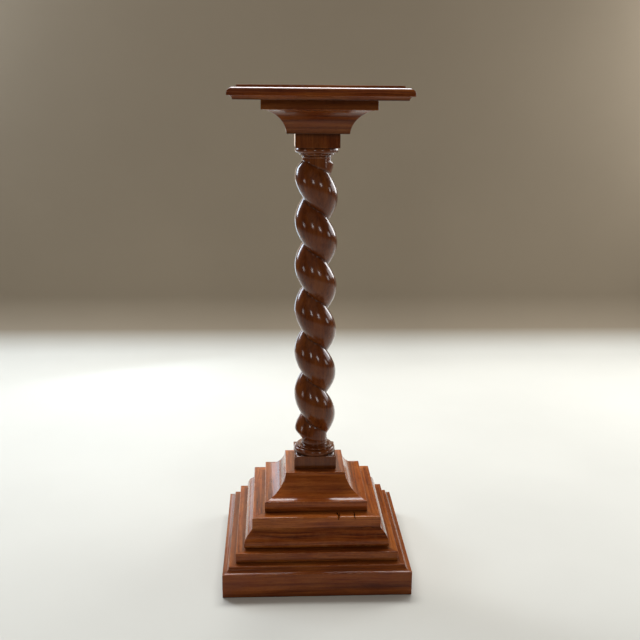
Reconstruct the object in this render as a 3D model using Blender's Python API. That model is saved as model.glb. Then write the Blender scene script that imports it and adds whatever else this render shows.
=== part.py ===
"""Barley twist column: a pedestal stand of dark polished mahogany.

A moulded square board lies on a coved cap block. Below them stands a shaft worked from one
square length of timber, with turned collars and a single left-hand twist, on a base of four
stacked square tiers. Run it with: blender --background --python part.py

Units are metres and +Z is up. The origin is the centre of the plinth's underside. Widths grow
outward from the shaft's square block, and heights stack upward, so every piece stays carried.
"""
import math

import bmesh
import bpy

# Clearance between two pieces that touch
JOINT_GAP = 0.0003

# Plinth: square slab with a cavetto along its top edge
PLINTH_FACE_HEIGHT = 0.0541
PLINTH_CAVETTO_HEIGHT = 0.0122
PLINTH_CAVETTO_DEPTH = 0.0126
PLINTH_ARRIS = 0.0012

# Step board: thin and square-edged
STEP_BOARD_THICKNESS = 0.0225
STEP_BOARD_LEDGE = 0.0144

# Ogee tier: nosing at the foot, then a flat fascia
OGEE_TIER_LEDGE = 0.0176
OGEE_FOOT_HEIGHT = 0.0080
OGEE_FOOT_DEPTH = 0.0055
OGEE_ROUND_HEIGHT = 0.0280
OGEE_ROUND_DEPTH = 0.0140
OGEE_ROUND_TURN_DEGREES = 63.0
OGEE_HOLLOW_HEIGHT = 0.0055
OGEE_HOLLOW_DEPTH = 0.0038
OGEE_HOLLOW_TURN_DEGREES = 42.0
FASCIA_HEIGHT = 0.0245

# Cove tier: slab with a cove that rises to the shaft
COVE_TIER_LEDGE = 0.0275
COVE_SLAB_HEIGHT = 0.0243
BASE_COVE_HEIGHT = 0.0495
BASE_COVE_DEPTH = 0.0471
BASE_COVE_SHOULDER = 0.0197

# Both coves follow |x|^n + |z|^n = 1, a little flatter than a circle
COVE_POWER = 1.8

# Shaft: square stock, with a block left square at each end
SHAFT_SQUARE = 0.0942
LOWER_BLOCK_HEIGHT = 0.0285
UPPER_BLOCK_HEIGHT = 0.0298

# Turned collars between the blocks and the twist, each with a torus against its block
TORUS_RADIUS = 0.0470

# Lower collar: torus that is fullest near its foot, lip, cavetto and low roll
LOWER_TORUS_FOOT = 0.0040
LOWER_TORUS_CROWN = 0.0085
LOWER_TORUS_SLOPE = 0.0055
LIP_RADIUS = 0.0404
LIP_HEIGHT = 0.0036
LIP_PROUD = 0.0018
CAVETTO_RADIUS = 0.0365
CAVETTO_HEIGHT = 0.0030
ROLL_HEIGHT = 0.0104
ROLL_PROUD = 0.0012
LOWER_NECK_RADIUS = 0.0283

# Upper collar: torus, fillet, groove, thin ring and straight neck
UPPER_TORUS_HEIGHT = 0.0118
UPPER_TORUS_PROUD = 0.0045
FILLET_RADIUS = 0.0385
FILLET_HEIGHT = 0.0045
GROOVE_HEIGHT = 0.0028
THIN_RING_HEIGHT = 0.0030
RING_PROUD = 0.0012
UPPER_NECK_RADIUS = 0.0314
UPPER_NECK_HEIGHT = 0.0066

# Barley twist: one full round strand with a sharp crease, winding left-handed
TWIST_LENGTH = 0.6305
TWIST_PITCH = 0.0985
TWIST_RADIUS = 0.0466
CREASE_RADIUS = 0.0262
STRAND_POWER = 1.98
CREASE_START_DEGREES = 35.8

# Ends of the twist: the crease fades out, and the strand tapers and runs out into the neck
CREASE_FADE = 0.0600
LOWER_TAPER = 0.0300
UPPER_TAPER = 0.0250
TAPER_POWER = 1.25
UPPER_CREASE_DROP = 0.0085
STRAND_BLEND = 0.0020
RUNOUT_START = 0.0090
RUNOUT_LENGTH = 0.0350
RUNOUT_LIP = 0.08

# Cap block: inverted cove that spreads from the shaft to a slab
CAP_COVE_SHOULDER = 0.0185
CAP_COVE_HEIGHT = 0.0497
CAP_COVE_DEPTH = 0.0520
CAP_SLAB_HEIGHT = 0.0198

# Top board: cavetto under an ovolo edge, with the top field raised above the ovolo
BOARD_OVERHANG = 0.0542
BOARD_CAVETTO_SIZE = 0.0080
BOARD_LIP = 0.0026
BOARD_EDGE_HEIGHT = 0.0050
OVOLO_HEIGHT = 0.0115
OVOLO_DEPTH = 0.0163
FIELD_SET_IN = 0.0019
FIELD_RISE = 0.0037

# Facets of the curves
CAVETTO_STEPS = 4
OGEE_STEPS = 4
COVE_STEPS = 9
OVOLO_STEPS = 5
BEAD_STEPS = 4
RING_STEPS = 2
TWIST_SIDES = 24

# Timber colour and polish
MAHOGANY = (0.090, 0.026, 0.011)
POLISH_ROUGHNESS = 0.22
SHADE_SMOOTH_ANGLE = math.radians(35)


def half_widths():
    """Half width of each square, worked outward from the shaft's block."""
    shaft = SHAFT_SQUARE / 2
    cove_top = shaft + BASE_COVE_SHOULDER
    cove_slab = cove_top + BASE_COVE_DEPTH
    fascia = cove_slab + COVE_TIER_LEDGE
    nosing = fascia + OGEE_HOLLOW_DEPTH + OGEE_ROUND_DEPTH
    step = nosing + OGEE_TIER_LEDGE
    plinth_top = step + STEP_BOARD_LEDGE
    plinth = plinth_top + PLINTH_CAVETTO_DEPTH + PLINTH_ARRIS
    cap_cove = shaft + CAP_COVE_SHOULDER
    cap_slab = cap_cove + CAP_COVE_DEPTH
    return {
        "shaft": shaft, "cove_top": cove_top, "cove_slab": cove_slab, "fascia": fascia,
        "nosing": nosing, "step": step, "plinth_top": plinth_top, "plinth": plinth,
        "cap_cove": cap_cove, "cap_slab": cap_slab, "board_foot": cap_slab + BOARD_OVERHANG,
    }


def arc(centre, run, rise, start, end, steps, power=2.0):
    """Points of a quarter curve |x/run|^power + |z/rise|^power = 1 round a centre.

    Angles are in degrees from the outward horizontal, counter-clockwise.
    """
    points = []
    for i in range(steps + 1):
        angle = math.radians(start + (end - start) * i / steps)
        across, up = math.cos(angle), math.sin(angle)
        x = math.copysign(abs(across) ** (2 / power), across)
        z = math.copysign(abs(up) ** (2 / power), up)
        points.append((centre[0] + run * x, centre[1] + rise * z))
    return points


def plinth_profile(base, half):
    """Half width and height pairs of the plinth, from its underside up."""
    face_top = base + PLINTH_FACE_HEIGHT
    top = face_top + PLINTH_CAVETTO_HEIGHT
    outer = half["plinth_top"] + PLINTH_CAVETTO_DEPTH
    cavetto = arc((outer, top), PLINTH_CAVETTO_DEPTH, PLINTH_CAVETTO_HEIGHT, 270, 180, CAVETTO_STEPS)
    return [(half["plinth"], base), (half["plinth"], face_top)] + cavetto


def step_board_profile(base, half):
    """Half width and height pairs of the plain step board."""
    return [(half["step"], base), (half["step"], base + STEP_BOARD_THICKNESS)]


def ogee_tier_profile(base, half):
    """Half width and height pairs of the ogee tier: rounded foot, round, hollow, fascia."""
    widest = base + OGEE_FOOT_HEIGHT
    hollow_top = widest + OGEE_ROUND_HEIGHT + OGEE_HOLLOW_HEIGHT
    foot_x = half["nosing"] - OGEE_FOOT_DEPTH
    foot = arc((foot_x, widest), OGEE_FOOT_DEPTH, OGEE_FOOT_HEIGHT, -90, 0, OGEE_STEPS)
    turn = math.radians(OGEE_ROUND_TURN_DEGREES)
    run = OGEE_ROUND_DEPTH / (1 - math.cos(turn))
    rise = OGEE_ROUND_HEIGHT / math.sin(turn)
    centre = (half["nosing"] - run, widest)
    swell = arc(centre, run, rise, 0, OGEE_ROUND_TURN_DEGREES, OGEE_STEPS + 2)
    turn = math.radians(OGEE_HOLLOW_TURN_DEGREES)
    run = OGEE_HOLLOW_DEPTH / (1 - math.cos(turn))
    rise = OGEE_HOLLOW_HEIGHT / math.sin(turn)
    centre = (half["fascia"] + run, hollow_top)
    hollow = arc(centre, run, rise, 180 + OGEE_HOLLOW_TURN_DEGREES, 180, OGEE_STEPS)
    return foot + swell[1:] + hollow[1:] + [(half["fascia"], hollow_top + FASCIA_HEIGHT)]


def cove_tier_profile(base, half):
    """Half width and height pairs of the lower slab and the cove above it."""
    top = base + COVE_SLAB_HEIGHT + BASE_COVE_HEIGHT
    centre = (half["cove_slab"], top)
    cove = arc(centre, BASE_COVE_DEPTH, BASE_COVE_HEIGHT, 270, 180, COVE_STEPS, COVE_POWER)
    return [(half["cove_slab"], base)] + cove


def cap_block_profile(base, half):
    """Half width and height pairs of the inverted cove and the slab over it."""
    centre = (half["cap_slab"], base)
    cove = arc(centre, CAP_COVE_DEPTH, CAP_COVE_HEIGHT, 180, 90, COVE_STEPS, COVE_POWER)
    return cove + [(half["cap_slab"], base + CAP_COVE_HEIGHT + CAP_SLAB_HEIGHT)]


def top_board_profile(base, half):
    """Half width and height pairs of the board: cavetto, lip, edge, ovolo, raised field."""
    foot = half["board_foot"]
    cavetto_x = foot + BOARD_CAVETTO_SIZE
    cavetto = arc((cavetto_x, base), BOARD_CAVETTO_SIZE, BOARD_CAVETTO_SIZE, 180, 90, CAVETTO_STEPS)
    edge = cavetto_x + BOARD_LIP
    edge_top = base + BOARD_CAVETTO_SIZE + BOARD_EDGE_HEIGHT
    ovolo = arc((edge - OVOLO_DEPTH, edge_top), OVOLO_DEPTH, OVOLO_HEIGHT, 0, 90, OVOLO_STEPS)
    field = edge - OVOLO_DEPTH - FIELD_SET_IN
    field_foot = edge_top + OVOLO_HEIGHT
    corners = [(field, field_foot), (field, field_foot + FIELD_RISE)]
    return cavetto + [(edge, base + BOARD_CAVETTO_SIZE)] + ovolo + corners


def half_round(radius, foot, height, proud, steps):
    """Radius and height pairs of a turned half-round, from its foot up."""
    return arc((radius - proud, foot + height / 2), proud, height / 2, -90, 90, steps)


def lower_collar_profile():
    """Radius and height pairs of the lower collar, from its square block up to the twist."""
    lip_foot = LOWER_TORUS_FOOT + LOWER_TORUS_CROWN
    hollow_foot = lip_foot + LIP_HEIGHT
    roll_foot = hollow_foot + CAVETTO_HEIGHT
    foot_x = TORUS_RADIUS - LOWER_TORUS_FOOT
    crown_x = TORUS_RADIUS - LOWER_TORUS_SLOPE
    foot = arc((foot_x, LOWER_TORUS_FOOT), LOWER_TORUS_FOOT, LOWER_TORUS_FOOT, -90, 0, RING_STEPS)
    crown = arc((crown_x, LOWER_TORUS_FOOT), LOWER_TORUS_SLOPE, LOWER_TORUS_CROWN, 0, 90, BEAD_STEPS)
    lip = half_round(LIP_RADIUS, lip_foot, LIP_HEIGHT, LIP_PROUD, RING_STEPS)
    depth = CAVETTO_RADIUS - LOWER_NECK_RADIUS
    hollow = arc((CAVETTO_RADIUS, roll_foot), depth, CAVETTO_HEIGHT, 270, 180, CAVETTO_STEPS)
    roll_radius = LOWER_NECK_RADIUS + ROLL_PROUD
    roll = half_round(roll_radius, roll_foot, ROLL_HEIGHT, ROLL_PROUD, RING_STEPS)
    return foot + crown[1:] + lip + hollow + roll[1:]


def upper_collar_profile():
    """Radius and distance pairs of the upper collar, from its square block down to the twist."""
    fillet_foot = UPPER_TORUS_HEIGHT
    groove_foot = fillet_foot + FILLET_HEIGHT
    thin_ring_foot = groove_foot + GROOVE_HEIGHT
    neck_foot = thin_ring_foot + THIN_RING_HEIGHT
    ring_radius = UPPER_NECK_RADIUS + RING_PROUD
    torus = half_round(TORUS_RADIUS, 0.0, UPPER_TORUS_HEIGHT, UPPER_TORUS_PROUD, BEAD_STEPS)
    fillet = half_round(FILLET_RADIUS, fillet_foot, FILLET_HEIGHT, RING_PROUD, RING_STEPS)
    thin_ring = half_round(ring_radius, thin_ring_foot, THIN_RING_HEIGHT, RING_PROUD, RING_STEPS)
    neck = (UPPER_NECK_RADIUS, neck_foot + UPPER_NECK_HEIGHT)
    return torus + fillet + [(UPPER_NECK_RADIUS, groove_foot)] + thin_ring + [neck]


def shaft_height():
    """Whole length of the shaft with both its blocks."""
    collars = lower_collar_profile()[-1][1] + upper_collar_profile()[-1][1]
    return LOWER_BLOCK_HEIGHT + collars + TWIST_LENGTH + UPPER_BLOCK_HEIGHT


def smooth_minimum(a, b, blend):
    """Smaller of two lengths, rounded where they are closer than the blend."""
    near = max(blend - abs(a - b), 0.0) / blend
    return min(a, b) - near * near * blend / 4


def ease(share):
    """Smooth step from 0 to 1."""
    share = min(max(share, 0.0), 1.0)
    return share * share * (3 - 2 * share)


def strand_radius(angle, rise):
    """Radius of the twist at an angle, at a rise above the twist's lower end."""
    drop = UPPER_CREASE_DROP * ease(1 - (TWIST_LENGTH - rise) / CREASE_FADE)
    turn = (angle - math.radians(CREASE_START_DEGREES)) / (2 * math.pi)
    turn += (rise + drop) / TWIST_PITCH
    across = turn - math.floor(turn)
    strand_centre = rise + TWIST_PITCH * (0.5 - across)
    if rise < TWIST_LENGTH / 2:
        neck, taper = LOWER_NECK_RADIUS, LOWER_TAPER
        from_end = rise
        past_end = -strand_centre
        edge = 1 - across
    else:
        neck, taper = UPPER_NECK_RADIUS, UPPER_TAPER
        from_end = TWIST_LENGTH - rise
        past_end = strand_centre - TWIST_LENGTH
        edge = across

    crease = neck + (CREASE_RADIUS - neck) * ease(from_end / CREASE_FADE)
    full = crease + (TWIST_RADIUS - crease) * (1 - abs(2 * across - 1) ** STRAND_POWER)
    spent = crease + (neck - crease) * (1 - (1 - min(edge / RUNOUT_LIP, 1.0)) ** 2)
    left = 1 - ease((past_end + RUNOUT_START) / RUNOUT_LENGTH)
    strand = spent + (full - spent) * left

    reach = 1 - (1 - min(from_end / taper, 1.0)) ** TAPER_POWER
    envelope = neck + (TWIST_RADIUS + STRAND_BLEND - neck) * reach
    return smooth_minimum(strand, envelope, STRAND_BLEND)


def twist_rises():
    """Heights of the twist's rings, set so that the crease runs from vertex to vertex."""
    step = TWIST_PITCH / TWIST_SIDES
    first = (CREASE_START_DEGREES / 360 * TWIST_PITCH) % step
    count = int((TWIST_LENGTH - first) / step) + 1
    inner = [first + i * step for i in range(count)]
    shortest = step / 3
    return [z for z in inner if shortest < z < TWIST_LENGTH - shortest]


def side_angles():
    """Angles of the shaft's vertical edges."""
    return [2 * math.pi * i / TWIST_SIDES for i in range(TWIST_SIDES)]


def add_square(bm, half, z):
    """Four corners of a square ring, counter-clockwise from the left front corner."""
    corners = ((-half, -half), (half, -half), (half, half), (-half, half))
    return [bm.verts.new((x, y, z)) for x, y in corners]


def add_circle(bm, radius, z):
    """One turned ring of the shaft."""
    return [bm.verts.new((radius * math.cos(a), radius * math.sin(a), z)) for a in side_angles()]


def add_twist_ring(bm, rise, z):
    """One ring of the twist, whose radius follows the strand."""
    ring = []
    for angle in side_angles():
        radius = strand_radius(angle, rise)
        ring.append(bm.verts.new((radius * math.cos(angle), radius * math.sin(angle), z)))
    return ring


def skin(bm, lower, upper):
    """Side faces between two rings with as many corners, split along the crease's direction."""
    count = len(lower)
    for i in range(count):
        j = (i + 1) % count
        if count == TWIST_SIDES:
            bm.faces.new((lower[i], lower[j], upper[i]))
            bm.faces.new((lower[j], upper[j], upper[i]))
        else:
            bm.faces.new((lower[i], lower[j], upper[j], upper[i]))


def shoulder(bm, square, circle):
    """Flat face between a square block and the round foot of its collar."""
    per_corner = TWIST_SIDES // 4
    for c in range(4):
        corner = square[(c + 2) % 4]
        following = square[(c + 3) % 4]
        for i in range(c * per_corner, (c + 1) * per_corner):
            bm.faces.new((corner, circle[i], circle[(i + 1) % TWIST_SIDES]))
        bm.faces.new((corner, following, circle[((c + 1) * per_corner) % TWIST_SIDES]))


def finish_mesh(bm, name, material):
    """Turns a closed mesh into a named object with its material."""
    bmesh.ops.recalc_face_normals(bm, faces=bm.faces)
    mesh = bpy.data.meshes.new(name)
    bm.to_mesh(mesh)
    bm.free()
    mesh.materials.append(material)
    mesh.shade_smooth()
    mesh.set_sharp_from_angle(angle=SHADE_SMOOTH_ANGLE)
    piece = bpy.data.objects.new(name, mesh)
    bpy.context.scene.collection.objects.link(piece)
    return piece


def make_tier(name, profile, material):
    """Square moulded tier, mitred at its corners, from a profile that runs upward."""
    bm = bmesh.new()
    rings = [add_square(bm, half, z) for half, z in profile]
    for lower, upper in zip(rings, rings[1:]):
        skin(bm, lower, upper)
    bm.faces.new(reversed(rings[0]))
    bm.faces.new(rings[-1])
    return finish_mesh(bm, name, material)


def make_shaft(name, base, half, material):
    """Square block, collar, twist, collar and square block in one piece of timber."""
    bm = bmesh.new()
    lower_collar = lower_collar_profile()
    upper_collar = upper_collar_profile()
    lower_shoulder = base + LOWER_BLOCK_HEIGHT
    twist_foot = lower_shoulder + lower_collar[-1][1]
    upper_shoulder = base + shaft_height() - UPPER_BLOCK_HEIGHT

    foot = add_square(bm, half, base)
    lower_square = add_square(bm, half, lower_shoulder)
    upper_square = add_square(bm, half, upper_shoulder)
    head = add_square(bm, half, base + shaft_height())
    bm.faces.new(reversed(foot))
    skin(bm, foot, lower_square)
    skin(bm, upper_square, head)
    bm.faces.new(head)

    rings = [add_circle(bm, radius, lower_shoulder + d) for radius, d in lower_collar]
    rings += [add_twist_ring(bm, rise, twist_foot + rise) for rise in twist_rises()]
    rings += [add_circle(bm, radius, upper_shoulder - d) for radius, d in reversed(upper_collar)]
    for lower, upper in zip(rings, rings[1:]):
        skin(bm, lower, upper)
    shoulder(bm, lower_square, rings[0])
    shoulder(bm, upper_square, rings[-1])
    return finish_mesh(bm, name, material)


def mahogany(name):
    """Dark polished mahogany."""
    material = bpy.data.materials.new(name)
    material.use_nodes = True
    shader = material.node_tree.nodes["Principled BSDF"]
    shader.inputs["Base Color"].default_value = (*MAHOGANY, 1.0)
    shader.inputs["Roughness"].default_value = POLISH_ROUGHNESS
    shader.inputs["Metallic"].default_value = 0.0
    return material


def clear_scene():
    """Removes the objects that the file starts with."""
    for obj in list(bpy.data.objects):
        bpy.data.objects.remove(obj, do_unlink=True)


def build():
    """Stacks the seven pieces from the plinth up."""
    clear_scene()
    half = half_widths()
    base = 0.0
    tiers_below = (
        ("plinth", plinth_profile),
        ("step_board", step_board_profile),
        ("ogee_tier", ogee_tier_profile),
        ("cove_tier", cove_tier_profile),
    )
    for name, profile_of in tiers_below:
        profile = profile_of(base, half)
        make_tier(name, profile, mahogany(name + "_mahogany"))
        base = profile[-1][1] + JOINT_GAP

    make_shaft("twist_shaft", base, half["shaft"], mahogany("twist_shaft_mahogany"))
    base += shaft_height() + JOINT_GAP

    for name, profile_of in (("cap_block", cap_block_profile), ("top_board", top_board_profile)):
        profile = profile_of(base, half)
        make_tier(name, profile, mahogany(name + "_mahogany"))
        base = profile[-1][1] + JOINT_GAP


build()
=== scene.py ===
"""Looks of the barley twist column: fine meshes, polished mahogany, floor, light and camera.

Each piece is built again from the sizes of its CAD solid, with its arrises worn round, its curves
smooth and its splits and chips cut in. The grain of each tier runs along its four mitred sides, and
that of the shaft runs upward. Units are metres and +Z is up.
"""

import math
import random

import bmesh
import bpy
import numpy as np
from mathutils import Matrix, Vector, noise


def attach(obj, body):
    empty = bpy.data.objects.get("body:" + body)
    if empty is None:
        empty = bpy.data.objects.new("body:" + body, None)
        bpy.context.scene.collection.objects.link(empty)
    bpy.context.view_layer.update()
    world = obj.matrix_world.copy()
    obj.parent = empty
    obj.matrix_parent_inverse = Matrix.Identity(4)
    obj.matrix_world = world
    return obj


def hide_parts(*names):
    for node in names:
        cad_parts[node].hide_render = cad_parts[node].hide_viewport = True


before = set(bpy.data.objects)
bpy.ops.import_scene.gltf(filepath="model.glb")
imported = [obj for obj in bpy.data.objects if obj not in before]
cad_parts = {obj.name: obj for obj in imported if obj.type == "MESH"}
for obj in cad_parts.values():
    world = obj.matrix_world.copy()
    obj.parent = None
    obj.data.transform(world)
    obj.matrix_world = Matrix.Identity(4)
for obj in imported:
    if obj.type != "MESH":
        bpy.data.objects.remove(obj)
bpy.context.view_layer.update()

# Sizes of the solids
JOINT_GAP = 0.0003

PLINTH_FACE_HEIGHT = 0.0541
PLINTH_CAVETTO_HEIGHT = 0.0122
PLINTH_CAVETTO_DEPTH = 0.0126
PLINTH_ARRIS = 0.0012

STEP_BOARD_THICKNESS = 0.0225
STEP_BOARD_LEDGE = 0.0144

OGEE_TIER_LEDGE = 0.0176
OGEE_FOOT_HEIGHT = 0.0080
OGEE_FOOT_DEPTH = 0.0055
OGEE_ROUND_HEIGHT = 0.0280
OGEE_ROUND_DEPTH = 0.0140
OGEE_ROUND_TURN_DEGREES = 63.0
OGEE_HOLLOW_HEIGHT = 0.0055
OGEE_HOLLOW_DEPTH = 0.0038
OGEE_HOLLOW_TURN_DEGREES = 42.0
FASCIA_HEIGHT = 0.0245

COVE_TIER_LEDGE = 0.0275
COVE_SLAB_HEIGHT = 0.0243
BASE_COVE_HEIGHT = 0.0495
BASE_COVE_DEPTH = 0.0471
BASE_COVE_SHOULDER = 0.0197
COVE_POWER = 1.8

SHAFT_SQUARE = 0.0942
LOWER_BLOCK_HEIGHT = 0.0285
UPPER_BLOCK_HEIGHT = 0.0298

TORUS_RADIUS = 0.0470
LOWER_TORUS_FOOT = 0.0040
LOWER_TORUS_CROWN = 0.0085
LOWER_TORUS_SLOPE = 0.0055
LIP_RADIUS = 0.0404
LIP_HEIGHT = 0.0036
LIP_PROUD = 0.0018
CAVETTO_RADIUS = 0.0365
CAVETTO_HEIGHT = 0.0030
ROLL_HEIGHT = 0.0104
ROLL_PROUD = 0.0012
LOWER_NECK_RADIUS = 0.0283
UPPER_TORUS_HEIGHT = 0.0118
UPPER_TORUS_PROUD = 0.0045
FILLET_RADIUS = 0.0385
FILLET_HEIGHT = 0.0045
GROOVE_HEIGHT = 0.0028
THIN_RING_HEIGHT = 0.0030
RING_PROUD = 0.0012
UPPER_NECK_RADIUS = 0.0314
UPPER_NECK_HEIGHT = 0.0066
TWIST_LENGTH = 0.6305
TWIST_PITCH = 0.0985
TWIST_RADIUS = 0.0466
CREASE_RADIUS = 0.0262
STRAND_POWER = 1.98
CREASE_START_DEGREES = 35.8
CREASE_FADE = 0.0600
LOWER_TAPER = 0.0300
UPPER_TAPER = 0.0250
TAPER_POWER = 1.25
UPPER_CREASE_DROP = 0.0085
STRAND_BLEND = 0.0020
RUNOUT_START = 0.0090
RUNOUT_LENGTH = 0.0350
RUNOUT_LIP = 0.08

CAP_COVE_SHOULDER = 0.0185
CAP_COVE_HEIGHT = 0.0497
CAP_COVE_DEPTH = 0.0520
CAP_SLAB_HEIGHT = 0.0198

BOARD_OVERHANG = 0.0542
BOARD_CAVETTO_SIZE = 0.0080
BOARD_LIP = 0.0026
BOARD_EDGE_HEIGHT = 0.0050
OVOLO_HEIGHT = 0.0115
OVOLO_DEPTH = 0.0163
FIELD_SET_IN = 0.0019
FIELD_RISE = 0.0037

# Fineness of the meshes
SAME_PLACE = 1e-7
KERNEL_REACH = 3
CURVE_STEPS = 28
PROFILE_STEP = 0.00020
CHORD_ERROR = 0.000006
LONGEST_RUN = 0.0070
SUPPORT = 0.0006
COLUMN_SPACING = 0.0060
EVEN_SHARE = 0.86
END_COLUMNS = 7
CORNER_STEPS = 4
SHAFT_SIDES = 96
TWIST_ROWS_PER_PITCH = 96

# Wear: arrises eased by hand and polish, and faces that are never quite flat.
# A softness is the distance over which an outline is averaged.
ARRIS_SOFTNESS = 0.0006
WORN_SOFTNESS = 0.0022
BLOCK_SOFTNESS = 0.0004
COLLAR_SOFTNESS = 0.0003
CORNER_RADIUS = 0.0009
BLOCK_CORNER = 0.00025
BLOCK_END_STEP = 0.0012
BEND_REACH = 2.5
BEND_SCALE = 1.2
FACE_WAVE = 0.00010
FACE_WAVE_LENGTH = 0.045
SHAFT_WAVE_LENGTH = 0.020
ARRIS_WAVE = 0.00022
ARRIS_WAVE_LENGTH = 0.011

# How far the hidden faces turn in under the next piece
HIDDEN_INSET = 0.0060
UPPER_INSET = 0.030

# Grime and painted shade: the distances over which the darkening fades from a tier's foot or a
# joint, and its strength in hollow corners, along the creases and in the splits, where shade falls.
# A step in height counts more than one along the ledge.
TIER_FOOT_FADE = 0.0032
TIER_JOINT_FADE = 0.0030
TIER_JOINT_RISE = 3
TIER_HOLLOW_GRIME_AND_SHADE = 0.8
SHAFT_JOINT_FADE = 0.0018
SHAFT_HOLLOW_GRIME_AND_SHADE = 0.7
CREASE_FADE_SHARE = 0.016
CREASE_GRIME_AND_SHADE = 0.75
# Walls of the splits painted near black: dirt and painted shade in the cracks
SPLIT_GRIME_AND_SHADE = 2.0

# Furthest that the grain is shifted, so that no two sides show the same timber
GRAIN_SHIFT = 4

# Outward and rightward directions of the front, right, back and left
SIDES = (
    (Vector((0, -1, 0)), Vector((1, 0, 0))),
    (Vector((1, 0, 0)), Vector((0, 1, 0))),
    (Vector((0, 1, 0)), Vector((-1, 0, 0))),
    (Vector((-1, 0, 0)), Vector((0, -1, 0))),
)


def half_widths():
    """Half width of each square, worked outward from the shaft's block."""
    shaft = SHAFT_SQUARE / 2
    cove_top = shaft + BASE_COVE_SHOULDER
    cove_slab = cove_top + BASE_COVE_DEPTH
    fascia = cove_slab + COVE_TIER_LEDGE
    nosing = fascia + OGEE_HOLLOW_DEPTH + OGEE_ROUND_DEPTH
    step = nosing + OGEE_TIER_LEDGE
    plinth_top = step + STEP_BOARD_LEDGE
    plinth = plinth_top + PLINTH_CAVETTO_DEPTH + PLINTH_ARRIS
    cap_cove = shaft + CAP_COVE_SHOULDER
    cap_slab = cap_cove + CAP_COVE_DEPTH
    return {
        "shaft": shaft, "cove_top": cove_top, "cove_slab": cove_slab, "fascia": fascia,
        "nosing": nosing, "step": step, "plinth_top": plinth_top, "plinth": plinth,
        "cap_cove": cap_cove, "cap_slab": cap_slab, "board_foot": cap_slab + BOARD_OVERHANG,
    }


def arc(centre, run, rise, start, end, power=2.0):
    """Points of a quarter curve |x/run|^power + |z/rise|^power = 1 round a centre."""
    points = []
    for i in range(CURVE_STEPS + 1):
        angle = math.radians(start + (end - start) * i / CURVE_STEPS)
        across, up = math.cos(angle), math.sin(angle)
        x = math.copysign(abs(across) ** (2 / power), across)
        z = math.copysign(abs(up) ** (2 / power), up)
        points.append((centre[0] + run * x, centre[1] + rise * z))
    return points


def plinth_profile(base, half):
    face_top = base + PLINTH_FACE_HEIGHT
    top = face_top + PLINTH_CAVETTO_HEIGHT
    outer = half["plinth_top"] + PLINTH_CAVETTO_DEPTH
    cavetto = arc((outer, top), PLINTH_CAVETTO_DEPTH, PLINTH_CAVETTO_HEIGHT, 270, 180)
    return [(half["plinth"], base), (half["plinth"], face_top)] + cavetto


def step_board_profile(base, half):
    return [(half["step"], base), (half["step"], base + STEP_BOARD_THICKNESS)]


def ogee_tier_profile(base, half):
    widest = base + OGEE_FOOT_HEIGHT
    hollow_top = widest + OGEE_ROUND_HEIGHT + OGEE_HOLLOW_HEIGHT
    foot_x = half["nosing"] - OGEE_FOOT_DEPTH
    foot = arc((foot_x, widest), OGEE_FOOT_DEPTH, OGEE_FOOT_HEIGHT, -90, 0)
    turn = math.radians(OGEE_ROUND_TURN_DEGREES)
    run = OGEE_ROUND_DEPTH / (1 - math.cos(turn))
    rise = OGEE_ROUND_HEIGHT / math.sin(turn)
    centre = (half["nosing"] - run, widest)
    swell = arc(centre, run, rise, 0, OGEE_ROUND_TURN_DEGREES)
    turn = math.radians(OGEE_HOLLOW_TURN_DEGREES)
    run = OGEE_HOLLOW_DEPTH / (1 - math.cos(turn))
    rise = OGEE_HOLLOW_HEIGHT / math.sin(turn)
    centre = (half["fascia"] + run, hollow_top)
    hollow = arc(centre, run, rise, 180 + OGEE_HOLLOW_TURN_DEGREES, 180)
    return foot + swell[1:] + hollow[1:] + [(half["fascia"], hollow_top + FASCIA_HEIGHT)]


def cove_tier_profile(base, half):
    top = base + COVE_SLAB_HEIGHT + BASE_COVE_HEIGHT
    centre = (half["cove_slab"], top)
    cove = arc(centre, BASE_COVE_DEPTH, BASE_COVE_HEIGHT, 270, 180, COVE_POWER)
    return [(half["cove_slab"], base)] + cove


def cap_block_profile(base, half):
    centre = (half["cap_slab"], base)
    cove = arc(centre, CAP_COVE_DEPTH, CAP_COVE_HEIGHT, 180, 90, COVE_POWER)
    return cove + [(half["cap_slab"], base + CAP_COVE_HEIGHT + CAP_SLAB_HEIGHT)]


def top_board_profile(base, half):
    cavetto_x = half["board_foot"] + BOARD_CAVETTO_SIZE
    cavetto = arc((cavetto_x, base), BOARD_CAVETTO_SIZE, BOARD_CAVETTO_SIZE, 180, 90)
    edge = cavetto_x + BOARD_LIP
    edge_top = base + BOARD_CAVETTO_SIZE + BOARD_EDGE_HEIGHT
    ovolo = arc((edge - OVOLO_DEPTH, edge_top), OVOLO_DEPTH, OVOLO_HEIGHT, 0, 90)
    field = edge - OVOLO_DEPTH - FIELD_SET_IN
    field_foot = edge_top + OVOLO_HEIGHT
    corners = [(field, field_foot), (field, field_foot + FIELD_RISE)]
    return cavetto + [(edge, base + BOARD_CAVETTO_SIZE)] + ovolo + corners


def half_round(radius, foot, height, proud):
    return arc((radius - proud, foot + height / 2), proud, height / 2, -90, 90)


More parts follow.
